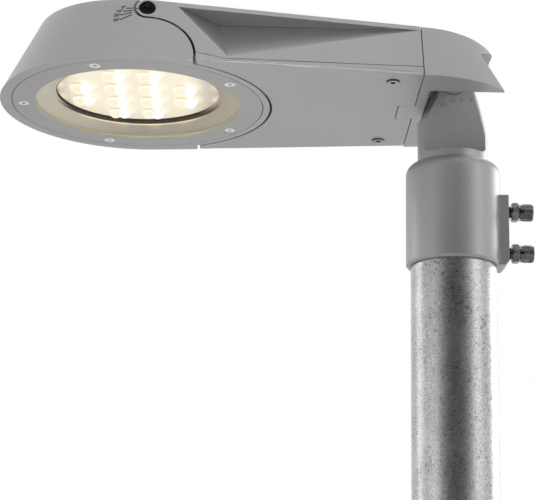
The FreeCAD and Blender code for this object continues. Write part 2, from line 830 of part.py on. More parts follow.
def neck_sleeve():
    neck = neck_form()
    chord = math.sqrt(neck_radius ** 2 - flat_half_thickness ** 2) + flat_side_run
    flat = box(-chord, chord, -FAR, -flat_half_thickness, flat_low, FAR)
    corners = [e for e in flat.Edges if e.BoundBox.YLength > past and e.BoundBox.ZMax < flat_low + tiny]
    neck = neck.cut(both_sides(flat.makeFillet(flat_round, corners)))
    slab = box(-FAR, FAR, -FAR, -eye_half_thickness, eye_step_height, FAR)
    neck = neck.cut(both_sides(slab))
    neck = neck.fuse(rod_y(eye_radius, 0, knuckle_height, -eye_half_thickness, eye_half_thickness))
    casting = neck.fuse(sleeve_form()).fuse(clamp_pad())
    casting = casting.cut(rod_z(sleeve_bore_radius, 0, 0, sleeve_low - past, sleeve_top - sleeve_roof))
    casting = casting.cut(cable_way())
    casting = casting.cut(rod_y(knuckle_pin_radius + running_gap, 0, knuckle_height, -FAR, FAR))
    for z in clamp_heights:
        casting = casting.cut(rod_x(clamp_screw_radius, 0, z, 0, FAR))
    return casting.removeSplitter()


def clamp_pad():
    points = [(0, sleeve_low), (pad_x - pad_bevel, sleeve_low), (pad_x, sleeve_low + pad_bevel),
              (pad_x, pad_top), (0, pad_top), (0, sleeve_low)]
    return side_prism(side_lines(points), -pad_half_width, pad_half_width)


def clamp_screws():
    screws = []
    for z in clamp_heights:
        end = clamp_head_x + clamp_head_length
        head = rod_x(clamp_head_radius, 0, z, clamp_head_x, end)
        head = head.makeFillet(clamp_head_round, [e for e in head.Edges if e.BoundBox.XMin > end - tiny])
        socket = hex_bar(clamp_socket_flats, vec(end - clamp_socket_depth, 0, z), vec(end + past, 0, z))
        shank = rod_x(clamp_screw_radius, 0, z, sleeve_bore_radius, clamp_head_x)
        screws.append(head.cut(socket).fuse(shank))
    return Part.makeCompound(screws)


def lock_nuts():
    nuts = []
    for z in clamp_heights:
        crown = rod_x(nut_crown_radius, 0, z, nut_x, nut_end)
        crown = crown.makeChamfer(nut_chamfer, [e for e in crown.Edges if e.BoundBox.XLength < tiny])
        nut = hex_bar(nut_flats, vec(nut_x, 0, z), vec(nut_end, 0, z)).common(crown)
        nuts.append(nut.cut(rod_x(clamp_screw_radius, 0, z, 0, FAR)))
    return Part.makeCompound(nuts)


def post_tube():
    """Tube whose upper end is turned down to a seat for the sleeve."""
    top = sleeve_top - sleeve_roof
    shoulder = sleeve_low - post_seat_reveal
    tube = rod_z(post_radius, 0, 0, -underside_height, shoulder)
    tube = tube.fuse(rod_z(post_seat_radius, 0, 0, shoulder, top))
    return tube.cut(rod_z(post_radius - post_wall, 0, 0, -underside_height - past, top + past))


def gear_box(length, width, height, x, y):
    """Block standing on the floor of the cover, with rounded upright corners."""
    block = box(x, x + length, y, y + width, cover_thickness, cover_thickness + height)
    return block.makeFillet(gear_round, [e for e in block.Edges if e.BoundBox.ZLength > past])


def led_driver():
    return gear_box(driver_length, driver_width, driver_height, gear_x, driver_y)


def terminal_block():
    block = gear_box(terminal_length, terminal_width, terminal_height, gear_x, gear_y)
    pitch = terminal_length / terminal_ways
    top = cover_thickness + terminal_height
    for way in range(terminal_ways):
        x = gear_x + pitch * way + pitch / 2
        y = gear_y + terminal_hole_inset
        block = block.cut(rod_z(terminal_hole_radius, x, y, top - terminal_hole_depth, top + past))
    return block


def surge_protector():
    return gear_box(surge_length, surge_width, surge_height, gear_x + terminal_length + gear_gap, gear_y)


NODES = (head_shell, glass_frame, ring_screws, cover_glass, glass_seal, reflector_cone, reflector_seal,
         lens_plate, led_chips, led_board, heat_spreader, board_screws, pivot_screws, arm_housing,
         bottom_cover, cover_gasket, cover_screws, led_driver, terminal_block, surge_protector,
         rear_hood, hood_screws, cable_gland, knuckle_pin, friction_discs, neck_sleeve, clamp_screws,
         lock_nuts, post_tube)


def main():
    os.makedirs("parts", exist_ok=True)
    for make in NODES:
        shape = make()
        shape.translate(vec(0, 0, underside_height))
        shape.exportStep("parts/" + make.__name__ + ".step")


main()
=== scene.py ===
"""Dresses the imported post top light: finishes for every casting and fastener, the printed tilt scale,
the cast numerals on the neck, the clamp threads and knurls, and the stage with its camera and lamps."""
import math

import bpy
from bpy.props import FloatProperty, FloatVectorProperty, PointerProperty
from mathutils import Matrix, Vector


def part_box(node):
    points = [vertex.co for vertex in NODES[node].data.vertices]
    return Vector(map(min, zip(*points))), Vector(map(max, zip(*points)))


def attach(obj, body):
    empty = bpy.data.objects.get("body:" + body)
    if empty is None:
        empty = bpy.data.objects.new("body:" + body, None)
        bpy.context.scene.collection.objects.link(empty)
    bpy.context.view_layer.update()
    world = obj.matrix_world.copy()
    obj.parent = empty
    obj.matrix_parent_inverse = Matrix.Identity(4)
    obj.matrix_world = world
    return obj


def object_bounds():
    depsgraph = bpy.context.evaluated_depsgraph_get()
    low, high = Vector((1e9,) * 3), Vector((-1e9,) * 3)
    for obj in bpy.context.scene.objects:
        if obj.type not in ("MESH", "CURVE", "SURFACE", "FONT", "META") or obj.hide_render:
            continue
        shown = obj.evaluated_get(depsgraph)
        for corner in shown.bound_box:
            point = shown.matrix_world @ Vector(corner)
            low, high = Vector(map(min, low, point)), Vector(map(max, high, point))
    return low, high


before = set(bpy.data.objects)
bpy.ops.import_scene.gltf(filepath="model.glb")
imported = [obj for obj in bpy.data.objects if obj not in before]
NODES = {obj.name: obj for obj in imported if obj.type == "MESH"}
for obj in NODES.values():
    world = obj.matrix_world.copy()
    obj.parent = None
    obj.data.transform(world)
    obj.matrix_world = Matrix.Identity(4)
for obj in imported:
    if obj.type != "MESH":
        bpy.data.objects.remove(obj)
CAD_BOX = [list(corner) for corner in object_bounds()]

bl_info = {
    "name": "Post Top Light Dressing",
    "version": (1, 0, 0),
    "blender": (4, 5, 0),
    "location": "View3D > Sidebar > Post Light",
    "description": "Finishes, printed scales and stage for a post top light",
    "category": "Object",
}

# Measures in metres, read from the CAD nodes where they can be.
RING_LOW, RING_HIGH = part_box("glass_frame")
HEAD_X = (RING_LOW.x + RING_HIGH.x) / 2
UNDERSIDE = RING_LOW.z
MOUTH = 0.0728              # radius of the glass frame's opening
LENS_LOW, LENS_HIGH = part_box("lens_plate")
PLATE_LOW = LENS_HIGH.z - 0.0015    # underside of the lens plate between its domes
CHIPS_LOW, CHIPS_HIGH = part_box("led_chips")
CHIP = 0.005                # side of one chip
LED_X = (CHIPS_LOW.x + CHIPS_HIGH.x) / 2
PITCH_X = (CHIPS_HIGH.x - CHIPS_LOW.x - CHIP) / 3
PITCH_Y = (CHIPS_HIGH.y - CHIPS_LOW.y - CHIP) / 3
LOBE_SPREAD = 0.0032        # from a double lens's middle to the middle of one dome
PRINT_START = CAD_BOX[0][1] - 0.01  # print is laid on the castings from this Y

GRAIN_DEPTH = 0.0002        # bump depth of the fine textures
TEXT_SIZE = 1.4             # font size for a numeral of height 1
QUARTER = math.pi / 2

BLACK = (0.0, 0.0, 0.0)
# Near black; in the powder coat it is the painted shade of narrow gaps.
NEAR_BLACK = (0.02, 0.02, 0.02)


def colour_prop(name, description, default):
    return FloatVectorProperty(name=name, description=description, default=default, size=3,
                               subtype="COLOR", min=0, max=1)


def length_prop(name, description, default):
    return FloatProperty(name=name, description=description, default=default, unit="LENGTH", precision=5)


def angle_prop(name, description, degrees):
    return FloatProperty(name=name, description=description, default=math.radians(degrees), subtype="ANGLE")


class FinishSettings(bpy.types.PropertyGroup):
    powder_light: colour_prop("Powder light", "Lighter tone of the grey powder coat", (0.405, 0.405, 0.405))
    powder_dark: colour_prop("Powder dark", "Darker tone of the grey powder coat", (0.345, 0.345, 0.345))
    zinc_light: colour_prop("Zinc light", "Bright specks of the galvanised post", (0.56, 0.56, 0.56))
    zinc_dark: colour_prop("Zinc dark", "Dull specks of the galvanised post", (0.24, 0.24, 0.24))
    black_steel: colour_prop("Black steel", "Blackened socket screws", (0.008, 0.008, 0.009))
    bright_steel: colour_prop("Bright steel", "Stainless screws", (0.9, 0.9, 0.89))
    rubber: colour_prop("Rubber", "Dark brown seals", (0.010, 0.006, 0.003))
    reflector: colour_prop("Reflector", "Satin cone behind the glass", (0.41, 0.385, 0.30))
    ink: colour_prop("Ink", "Printed scale", (0.012, 0.012, 0.012))
    glow: colour_prop("Glow", "Lit surface of the lens plate", (0.82, 0.745, 0.56))
    glow_edge: colour_prop("Glow edge", "Lens plate beyond the outer lenses", (0.40, 0.325, 0.255))


class ScaleSettings(bpy.types.PropertyGroup):
    text_height: length_prop("Numeral height", "Height of the printed scale numerals", 0.0024)
    line_width: length_prop("Line width", "Width of the printed scale lines", 0.0010)
    print_lift: length_prop("Print lift", "How far the print stands off the casting", 0.00006)
    neck_height: length_prop("Neck numeral height", "Height of the cast numerals on the neck", 0.0032)
    neck_lift: length_prop("Neck numeral lift", "How far the cast numerals stand proud", 0.00018)


class StageSettings(bpy.types.PropertyGroup):
    camera_place: FloatVectorProperty(
        name="Camera place", description="Where the camera stands", size=3,
        default=(-0.15030, -1.19951, 0.01845), subtype="TRANSLATION", unit="LENGTH")
    camera_pitch: angle_prop("Pitch", "Upward tilt of the camera", 15.257)
    camera_yaw: angle_prop("Yaw", "Turn of the camera to the left", -0.964)
    camera_roll: angle_prop("Roll", "Clockwise roll of the camera", -1.071)
    lens: FloatProperty(name="Lens", description="Focal length on a 36 mm wide sensor", default=119.316,
                        unit="CAMERA")
    ambient: FloatProperty(name="Ambient", description="Level of the even light from all round", default=0.30)
    floor_tone: colour_prop("Floor", "Pale studio floor", (0.88, 0.88, 0.88))


def settings():
    return bpy.context.scene.post_light_finish


def scale_settings():
    return bpy.context.scene.post_light_scale


def plug(tree, socket, value):
    """Links a wire to a socket, or sets the socket to a plain value."""
    if isinstance(value, Wire):
        tree.links.new(value.socket, socket)
        return
    if socket.type == "RGBA" and len(value) == 3:
        value = (*value, 1.0)
    socket.default_value = value


class Wire:
    """A shader socket that takes part in Python sums, each of which adds a Math node."""

    def __init__(self, tree, socket):
        self.tree = tree
        self.socket = socket

    def sum(self, operation, first, second=0.0):
        node = self.tree.nodes.new("ShaderNodeMath")
        node.operation = operation
        plug(self.tree, node.inputs[0], first)
        plug(self.tree, node.inputs[1], second)
        return Wire(self.tree, node.outputs[0])

    def __add__(self, other):
        return self.sum("ADD", self, other)

    __radd__ = __add__

    def __sub__(self, other):
        return self.sum("SUBTRACT", self, other)

    def __rsub__(self, other):
        return self.sum("SUBTRACT", other, self)

    def __mul__(self, other):
        return self.sum("MULTIPLY", self, other)

    def __truediv__(self, other):
        return self.sum("DIVIDE", self, other)

    def __pow__(self, other):
        return self.sum("POWER", self, other)

    def __lt__(self, other):
        return self.sum("LESS_THAN", self, other)

    def __gt__(self, other):
        return self.sum("GREATER_THAN", self, other)

    def __abs__(self):
        return self.sum("ABSOLUTE", self)

    def fraction(self):
        return self.sum("FRACT", self)

    def highest(self, other):
        return self.sum("MAXIMUM", self, other)


def distance(first, second):
    """Length of a step with these two parts at right angles."""
    return (first ** 2.0 + second ** 2.0) ** 0.5


def seen_share(tree):
    """1 for a ray from the camera, or by way of gloss or glass, and 0 for other light."""
    path = tree.nodes.new("ShaderNodeLightPath").outputs
    seen = Wire(tree, path["Is Camera Ray"])
    for kind in ("Is Glossy Ray", "Is Transmission Ray"):
        seen = seen.highest(Wire(tree, path[kind]))
    return seen


class Finish:
    """A node material: node() adds any node, feed() sets the surface."""

    def __init__(self, name, **constants):
        self.material = bpy.data.materials.new(name)
        self.material.use_nodes = True
        self.tree = self.material.node_tree
        self.surface = self.tree.nodes["Principled BSDF"]
        self.place = self.node("TexCoord", out="Object")
        for key, value in constants.items():
            self.feed({key.replace("_", " ").title().replace("Ior", "IOR"): value})

    def node(self, kind, choices=None, sockets=None, out=0):
        node = self.tree.nodes.new("ShaderNode" + kind)
        for key, value in (choices or {}).items():
            setattr(node, key, value)
        for key, value in (sockets or {}).items():
            plug(self.tree, node.inputs[key], value)
        return Wire(self.tree, node.outputs[out])

    def parts(self):
        """X, Y and Z of the point on the object."""
        outputs = self.node("SeparateXYZ", sockets={0: self.place}).socket.node.outputs
        return [Wire(self.tree, output) for output in outputs]

    def noise(self, scale, detail=2.0, roughness=0.5, vector=None):
        return self.node("TexNoise", {}, {"Vector": vector or self.place, "Scale": scale, "Detail": detail,
                                          "Roughness": roughness}, "Fac")

    def stretched(self, scale):
        """The point on the object with its axes scaled."""
        return self.node("Mapping", {}, {"Vector": self.place, "Scale": scale})

    def step(self, value, low, high):
        """Smooth rise from 0 to 1 while the value goes from low to high, which may be the smaller."""
        return self.node("MapRange", {"interpolation_type": "SMOOTHSTEP"},
                         {"Value": value, "From Min": low, "From Max": high})

    def mix(self, share, first, second):
        return self.node("Mix", {"data_type": "RGBA"}, {0: share, 6: first, 7: second}, 2)

    def bump(self, height, strength, depth=GRAIN_DEPTH, normal=None):
        sockets = {"Height": height, "Strength": strength, "Distance": depth}
        if normal is not None:
            sockets["Normal"] = normal
        self.feed({"Normal": self.node("Bump", {}, sockets)})

    def soft_edges(self, radius):
        return self.node("Bevel", {"samples": 4}, {"Radius": radius})

    def feed(self, sockets):
        for key, value in sockets.items():
            plug(self.tree, self.surface.inputs[key], value)


def dress(finish, *names):
    """Gives CAD nodes a finish."""
    for name in names:
        slots = NODES[name].data.materials
        slots.clear()
        slots.append(finish.material)


def powder_coat(name, lift=1.0, lip=None):
    """Fine textured grey powder coat on a die casting, with painted shade in narrow gaps and painted warm
    light inside a lip's radius.
    """
    tones = settings()
    gap_width = 0.003
    lip_skin = 0.0003
    lip_painted_light = (0.50, 0.48, 0.41)
    coat = Finish(name, metallic=0.6)
    cloud = coat.noise(11.0, 3.0, 0.6)
    fleck = coat.noise(900.0, 2.0, 0.6)
    grain = coat.noise(1700.0, 2.0, 0.6)
    tone = coat.step(cloud * 0.35 + fleck * 0.65, 0.25, 0.75)
    dark = [value * lift for value in tones.powder_dark]
    light = [value * lift for value in tones.powder_light]
    # Painted shade: ambient occlusion darkens narrow gaps and recesses towards near black.
    open_air = coat.node("AmbientOcclusion", {"samples": 8}, {"Distance": gap_width}, "AO")
    crevice_shade = coat.step(open_air, 0.20, 0.06)
    colour = coat.mix(crevice_shade, coat.mix(tone, dark, light), NEAR_BLACK)
    # Painted light: the frame's lip inside the mouth is coloured warm pale beige as if lit by the LEDs.
    if lip:
        x, y, _ = coat.parts()
        colour = coat.mix(distance(x - HEAD_X, y) < lip + lip_skin, colour, lip_painted_light)
    coat.feed({"Base Color": colour, "Roughness": 0.36 + fleck * 0.16})
    coat.bump(grain * 0.7 + fleck * 0.3, 0.07, normal=coat.soft_edges(0.0006))
    return coat


def galvanised():
    """Dull zinc: fine speckle in soft patches, faint drawn streaks and a few dark pits."""
    tones = settings()
    pit_dark = (0.08, 0.08, 0.08)
    speckle_depth = 0.0003
    zinc = Finish("galvanised_zinc", metallic=0.9)
    speck = zinc.noise(1400.0, 3.0, 0.75)
    grit = zinc.noise(420.0, 2.0, 0.6)
    patch = zinc.noise(38.0, 3.0, 0.6)
    streak = zinc.noise(60.0, 3.0, 0.6, zinc.stretched((1.0, 1.0, 0.05)))
    pit = zinc.step(grit * 0.7 + patch * 0.3, 0.385, 0.335)
    tone = zinc.step(speck * 0.6 + grit * 0.15 + patch * 0.15 + streak * 0.1, 0.38, 0.62)
    colour = zinc.mix(tone, tones.zinc_dark, tones.zinc_light)
    zinc.feed({"Base Color": zinc.mix(pit * 0.8, colour, pit_dark),
               "Roughness": 0.16 + speck * 0.14 + patch * 0.1})
    zinc.bump(speck * 0.7 + grit * 0.3, 0.5, speckle_depth)
    return zinc


def screw_steel(name, dark, light, roughness):
    """Screw steel with fine marks and soft edges."""
    steel = Finish(name, metallic=1.0)
    fine = steel.noise(1800.0, 3.0, 0.6)
    patch = steel.noise(200.0)
    tone = steel.step(patch * 0.5 + fine * 0.5, 0.3, 0.7)
    steel.feed({"Base Color": steel.mix(tone, dark, light), "Roughness": roughness + fine * 0.2})
    steel.bump(fine, 0.07, normal=steel.soft_edges(0.0003))
    return steel


def black_steel():
    return screw_steel("blackened_steel", settings().black_steel, (0.045, 0.045, 0.048), 0.16)


def dark_steel():
    return screw_steel("dark_steel", (0.03, 0.03, 0.03), (0.26, 0.255, 0.25), 0.08)


def plain_steel():
    return screw_steel("plain_steel", (0.16, 0.16, 0.16), (0.46, 0.46, 0.45), 0.14)


def bright_steel():
    return screw_steel("stainless_steel", (0.62, 0.62, 0.62), settings().bright_steel, 0.14)


def clear_glass():
    """Flat clear glass with a faint gloss and a glowing beige border on its upper face, painted light that
    stands in for the lit reflector.
    """
    clear_tone = (0.9, 0.93, 0.9)
    painted_border_glow = (0.27, 0.26, 0.215)
    border_radius = MOUTH - 0.0008
    border_height = UNDERSIDE + 0.0015
    glass = Finish("clear_glass", roughness=0.03, ior=1.5, emission_strength=1.0)
    x, y, z = glass.parts()
    # Painted light: the border on the upper face is beige and glows like the lit reflector, over the shaded
    # rebate.
    border = (distance(x - HEAD_X, y) > border_radius) * (z > border_height)
    haze = glass.noise(30.0)
    glass.feed({"Base Color": glass.mix(border, clear_tone, settings().reflector),
                "Emission Color": glass.mix(border, BLACK, painted_border_glow),
                "Alpha": (0.012 + haze * 0.012).highest(border)})
    glass.material.surface_render_method = "BLENDED"
    return glass


def seal_rubber(name, lit_near=False):
    """Dark brown rubber, or a ring of it with painted light: pale beige on the near side, dark on the far
    side.
    """
    worn_brown = (0.022, 0.013, 0.006)
    near_painted_light = (0.46, 0.39, 0.28)
    rubber = Finish(name, specular_ior_level=0.1)
    fine = rubber.noise(900.0, 3.0)
    cloud = rubber.noise(60.0)
    colour = rubber.mix(cloud, settings().rubber, worn_brown)
    if lit_near:
        # Painted light: the near side of the ring turns pale beige and the far side stays dark.
        x, y, _ = rubber.parts()
        colour = rubber.mix(rubber.step(y - x * 0.3, 0.095, 0.065), colour, near_painted_light)
    rubber.feed({"Base Color": colour, "Roughness": 0.55 + fine * 0.2})
    rubber.bump(fine, 0.1)
    return rubber


def reflector_satin():
    """Satin beige cone with painted shade as a dark crest on the far side, a painted highlight along the edge
    on the far side, painted LED glow stronger at the front, and painted warm streaks of light by the lens
    columns.
    """
    warm_beige = (0.34, 0.29, 0.20)
    crest_shade_brown = (0.040, 0.024, 0.010)
    crest_shade_glow = (0.01, 0.006, 0.003)
    front_glow = (0.17, 0.16, 0.13)
    rear_glow = (0.02, 0.017, 0.010)
    streak_painted_light = (1.0, 0.78, 0.5)
    edge_painted_highlight = (1.0, 0.86, 0.6)
    cone = Finish("reflector_satin", emission_strength=1.0)
    x, y, z = cone.parts()
    cloud = cone.noise(25.0)
    fine = cone.noise(800.0)
    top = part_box("reflector_cone")[1].z
    rise = cone.step(z, UNDERSIDE + 0.003, top)
    sweep = abs(((x - LED_X) / PITCH_X).fraction() - 0.5)
    # Painted light: warm streaks on the far side of the cone by the lens columns.
    streak = cone.step(sweep, 0.32, 0.06) * cone.step(abs(x - LED_X), 0.055, 0.03) * cone.step(y, 0.03, 0.05)
    # Painted shade: a dark brown crest along the cone's upper rim on the far side.
    crest = cone.step(z, top - 0.0011, top - 0.0008) * cone.step(y, 0.005, 0.035)
    # Painted highlight: a lit line just below the crest on the far side.
    edge = cone.step(abs(z - top + 0.0013), 0.0004, 0.0001) * cone.step(y, 0.035, 0.055)
    tone = cone.mix(rise * 0.6 + cloud * 0.3, settings().reflector, warm_beige)
    # Painted LED glow, stronger at the front end than at the rear.
    spill = cone.mix(cone.step(x - HEAD_X, -0.065, 0.01), front_glow, rear_glow)
    spill = cone.mix(crest, spill, crest_shade_glow)
    shine = cone.mix(streak * rise * rise * (1.0 - crest) * 0.2, spill, streak_painted_light)
    cone.feed({"Base Color": cone.mix(crest, tone, crest_shade_brown), "Roughness": 0.32 + fine * 0.12,
               "Metallic": crest, "Emission Color": cone.mix(edge * 0.5, shine, edge_painted_highlight)})
    cone.bump(fine, 0.04)
    return cone


def lens_glow():
    """Lit lens plate in painted glow: cream all over and dimmer at the ends, with a halo and a near-side
    bloom round each lens, and a clear and a white dome in each double lens.
    """
    tones = settings()
    unlit = (0.08, 0.075, 0.065)
    cream = (1.0, 0.93, 0.76)
    bloom_white = (1.0, 1.0, 0.95)
    dome_white = (1.0, 1.0, 0.98)
    clear_root, clear_tip, dome_rim_shade = (1.0, 0.96, 0.84), (0.90, 0.82, 0.61), (0.74, 0.64, 0.46)
    bloom_shift, bloom_wide, bloom_long = 0.0020, 0.0034, 0.0040
    lens = Finish("lit_lens_plate", base_color=unlit, specular_ior_level=0.3, emission_strength=1.0)
    x, y, z = lens.parts()
    held = (abs(x - LED_X) < PITCH_X).highest(abs(y) < PITCH_Y)
    side = (((x - LED_X) / PITCH_X).fraction() - 0.5) * PITCH_X
    along = ((y / PITCH_Y).fraction() - 0.5) * PITCH_Y
    off_dome = side - LOBE_SPREAD
    dome = z < PLATE_LOW - 0.0003
    depth = lens.step(z, PLATE_LOW - 0.0004, LENS_LOW.z + 0.0012)
    white = lens.step(side, -0.0012, 0.0014) * dome * lens.step(depth, 0.0, 0.5)
    clear = lens.step(side, 0.0010, -0.0012) * dome
    # Painted glow: a cream halo round each lens, and a white bloom shifted to the near side as a painted
    # highlight.
    halo = lens.step(distance(off_dome, along), 0.0125, 0.003) * held
    bloom = lens.step(distance(off_dome / bloom_wide, (along + bloom_shift) / bloom_long), 1.05, 0.75) * held
    # Painted glow dimmer towards the ends of the plate.
    ends = lens.step(abs(x - LED_X), 0.036, 0.060)
    cloud = lens.noise(70.0)
    fine = lens.noise(500.0)
    # Painted light and shade on the clear dome: bright at its root, cream at its tip, darker at its rim on
    # the plate.
    drop = lens.mix(lens.step(depth, 0.3, 0.8), clear_root, clear_tip)
    drop = lens.mix(lens.step(depth, 0.22, 0.06), drop, dome_rim_shade)
    tone = lens.mix(ends * 0.9 + cloud * 0.12, tones.glow, tones.glow_edge)
    layers = ((halo * 0.55, cream), (bloom * 0.8, bloom_white), (clear, drop), (white, dome_white))
    for share, colour in layers:
        tone = lens.mix(share, tone, colour)
    lens.feed({"Emission Color": tone, "Roughness": 0.15 + fine * 0.1})
    return lens


def moulded(name, colour, shade, roughness=0.45):
    """Plain moulded plastic with a fine spark-eroded texture."""
    plastic = Finish(name)
    fine = plastic.noise(1100.0, 2.0, 0.6)
    cloud = plastic.noise(40.0)
    plastic.feed({"Base Color": plastic.mix(cloud * 0.6 + fine * 0.4, shade, colour),
                  "Roughness": roughness + fine * 0.15})
    plastic.bump(fine, 0.12, normal=plastic.soft_edges(0.0005))
    return plastic


def bare_aluminium():
    """Machined plate with marks along X."""
    plate = Finish("machined_aluminium", metallic=1.0)
    brush = plate.noise(1600.0, 3.0, 0.6, plate.stretched((0.05, 1.0, 1.0)))
    plate.feed({"Base Color": plate.mix(brush, (0.55, 0.55, 0.56), (0.78, 0.78, 0.79)),
                "Roughness": 0.25 + brush * 0.2})
    plate.bump(brush, 0.08)
    return plate


def printed_ink():
    ink = Finish("printed_ink")
    fine = ink.noise(1500.0)
    ink.feed({"Base Color": ink.mix(fine, settings().ink, (0.04, 0.04, 0.04)), "Roughness": 0.5 + fine * 0.2})
    return ink


def alone(obj):
    """Makes one object the only selected and active one."""
    bpy.ops.object.select_all(action="DESELECT")
    obj.select_set(True)
    bpy.context.view_layer.objects.active = obj


def settle(obj):
    """Moves the object's place, turn and scale into its mesh."""
    alone(obj)
    bpy.ops.object.transform_apply(location=True, rotation=True, scale=True)


def finish_piece(obj, name, body, finish):
    """Names a piece, gives it its finish and lets it ride on a body."""
    obj.name = name
    obj.data.name = name
    obj.data.materials.clear()
    obj.data.materials.append(finish.material)
    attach(obj, body)
    bpy.ops.object.select_all(action="DESELECT")


def joined(objects):
    """Joins several objects into the first and leaves it active."""
    bpy.ops.object.select_all(action="DESELECT")
    for obj in objects:
        obj.select_set(True)
    bpy.context.view_layer.objects.active = objects[0]
    bpy.ops.object.join()
    return bpy.context.view_layer.objects.active


def plane(size, place, turn=(0.0, 0.0, 0.0)):
    bpy.ops.object.select_all(action="DESELECT")
    bpy.ops.mesh.primitive_plane_add(size=size, location=place, rotation=turn)
    return bpy.context.object


def disc(vertices, radius, x, z):
    """Flat disc square to X."""
    bpy.ops.object.select_all(action="DESELECT")
    bpy.ops.mesh.primitive_circle_add(vertices=vertices, radius=radius, fill_type="NGON",
                                      location=(x, 0, z), rotation=(0, QUARTER, 0))
    made = bpy.context.object
    settle(made)
    return made


def pull(length):
    """Extrudes the selected faces along X."""
    bpy.ops.mesh.extrude_region_move(TRANSFORM_OT_translate={"value": (length, 0, 0)})


def widen(factor, z):
    """Scales what is selected away from a line along X."""
    bpy.ops.transform.resize(value=(1, factor, factor), center_override=(0, 0, z))


def close_mesh():
    """Turns all faces outwards and leaves edit mode."""
    bpy.ops.mesh.select_all(action="SELECT")
    bpy.ops.mesh.normals_make_consistent(inside=False)
    bpy.ops.object.mode_set(mode="OBJECT")


def clamp_heads():
    """Heights of the two clamp screws, the radius of their heads and where the heads end."""
    low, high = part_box("clamp_screws")
    radius = (high.y - low.y) / 2
    return (low.z + radius, high.z - radius), radius, high.x


def laid_on(obj, carrier, lift, near=True):
    """Drops a flat piece along Y onto the near or far side of the casting that carries it."""
    alone(obj)
    wrap = obj.modifiers.new("lay", "SHRINKWRAP")
    wrap.target = NODES[carrier]
    wrap.wrap_method = "PROJECT"
    wrap.use_project_y = True
    wrap.use_positive_direction = near
    wrap.use_negative_direction = not near
    wrap.offset = lift
    bpy.ops.object.modifier_apply(modifier=wrap.name)
    return obj


def upright_text(body, height, x, z, y, weight, near=True, turn=0.0):
    """Numerals standing in the XZ plane, read from the near side, -Y, or from the far side."""
    bpy.ops.object.select_all(action="DESELECT")
    bpy.ops.object.text_add(location=(x, y, z), rotation=(QUARTER, turn, 0.0 if near else math.pi))
    text = bpy.context.object
    text.data.body = body
    text.data.size = height * TEXT_SIZE
    text.data.align_x = "CENTER"
    text.data.align_y = "CENTER"
    text.data.offset = weight
    alone(text)
    bpy.ops.object.convert(target="MESH")
    text = bpy.context.object
    settle(text)
    return text


def strip(width, start, end, y):
    """Thin strip in the XZ plane between two points, cut into short lengths so that it can follow a curve."""
    a, b = Vector((start[0], y, start[1])), Vector((end[0], y, end[1]))
    line = plane(1.0, (a + b) / 2, (QUARTER, -math.atan2(b.z - a.z, b.x - a.x), 0.0))
    line.scale = ((b - a).length, width, 1.0)
    bpy.ops.object.mode_set(mode="EDIT")
    bpy.ops.mesh.select_all(action="SELECT")
    bpy.ops.mesh.subdivide(number_cuts=7)
    bpy.ops.object.mode_set(mode="OBJECT")
    settle(line)
    return line


class POSTLIGHT_OT_castings(bpy.types.Operator):
    """Coats the head, arm, cover, hood and neck castings"""
    bl_idname = "post_light.castings"
    bl_label = "Coat Castings"

    ring_lift = 0.96

    def execute(self, context):
        dress(powder_coat("powder_coat"),
              "head_shell", "arm_housing", "bottom_cover", "rear_hood", "neck_sleeve")
        dress(powder_coat("powder_coat_ring", self.ring_lift, MOUTH), "glass_frame")
        return {"FINISHED"}


class POSTLIGHT_OT_metalwork(bpy.types.Operator):
    """Finishes the post, screws, nuts and knuckle pin"""
    bl_idname = "post_light.metalwork"
    bl_label = "Finish Metalwork"

    def execute(self, context):
        dress(galvanised(), "post_tube")
        dress(black_steel(), "pivot_screws")
        dress(dark_steel(), "clamp_screws", "lock_nuts")
        dress(plain_steel(), "cover_screws")
        dress(bright_steel(), "ring_screws", "hood_screws", "board_screws", "knuckle_pin")
        return {"FINISHED"}


class POSTLIGHT_OT_light_unit(bpy.types.Operator):
    """Finishes the glass, reflector, lenses, seals and LED board"""
    bl_idname = "post_light.light_unit"
    bl_label = "Finish Light Unit"

    def execute(self, context):
        dress(clear_glass(), "cover_glass")
        dress(seal_rubber("seal_rubber"), "cover_gasket")
        dress(seal_rubber("rubber_painted_light_near", True), "reflector_seal")
        # Painted light: the glass seal is coloured pale beige so that its shaded gap does not show dark.
        dress(moulded("seal_painted_pale", (0.78, 0.74, 0.60), (0.70, 0.66, 0.53), 0.6), "glass_seal")
        dress(reflector_satin(), "reflector_cone")
        dress(lens_glow(), "lens_plate")
        dress(moulded("chip_phosphor", (0.95, 0.75, 0.25), (0.85, 0.6, 0.15), 0.35), "led_chips")
        dress(moulded("white_solder_mask", (0.86, 0.85, 0.8), (0.78, 0.76, 0.7), 0.4), "led_board")
        dress(bare_aluminium(), "heat_spreader")
        return {"FINISHED"}


class POSTLIGHT_OT_gear(bpy.types.Operator):
    """Finishes the driver, terminals, gland and friction discs"""
    bl_idname = "post_light.gear"
    bl_label = "Finish Gear"

    def execute(self, context):
        dress(moulded("driver_case", (0.8, 0.8, 0.78), (0.72, 0.72, 0.7)), "led_driver")
        dress(moulded("terminal_grey", (0.4, 0.42, 0.43), (0.34, 0.36, 0.37)), "terminal_block")
        dress(moulded("surge_red", (0.5, 0.07, 0.05), (0.4, 0.05, 0.04)), "surge_protector")
        dress(moulded("gland_black", (0.035, 0.035, 0.035), NEAR_BLACK), "cable_gland")
        dress(moulded("friction_fibre", (0.2, 0.16, 0.12), (0.13, 0.1, 0.07), 0.7), "friction_discs")
        return {"FINISHED"}


